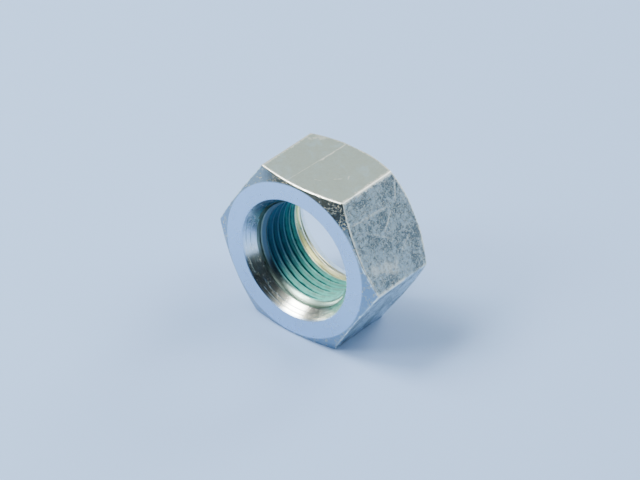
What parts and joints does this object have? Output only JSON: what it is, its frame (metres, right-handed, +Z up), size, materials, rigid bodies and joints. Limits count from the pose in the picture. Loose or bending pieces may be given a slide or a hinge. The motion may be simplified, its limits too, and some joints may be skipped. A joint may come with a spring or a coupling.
{
  "type": "hex nut",
  "caption": "Hexagon nut with a fine right-hand thread, chamfered and countersunk on both faces, with a dry film on its middle turns.",
  "frame": {"origin": "middle of the side flat that the nut rests on", "axes": "+Z up, normal to the flat that the nut rests on; the bore lies along Y and its front face looks along -Y; two opposite corners lie along X"},
  "size_m": [0.0346, 0.016, 0.03],
  "materials": {
    "plated_steel": "bright zinc plating with a pale blue passivation, worn bright on the edges",
    "dry_film": "teal dry film, rubbed pale on the crests"
  },
  "bodies": {
    "root": {"nut_body": "plated_steel", "thread_film": "dry_film"}
  },
  "joints": []
}
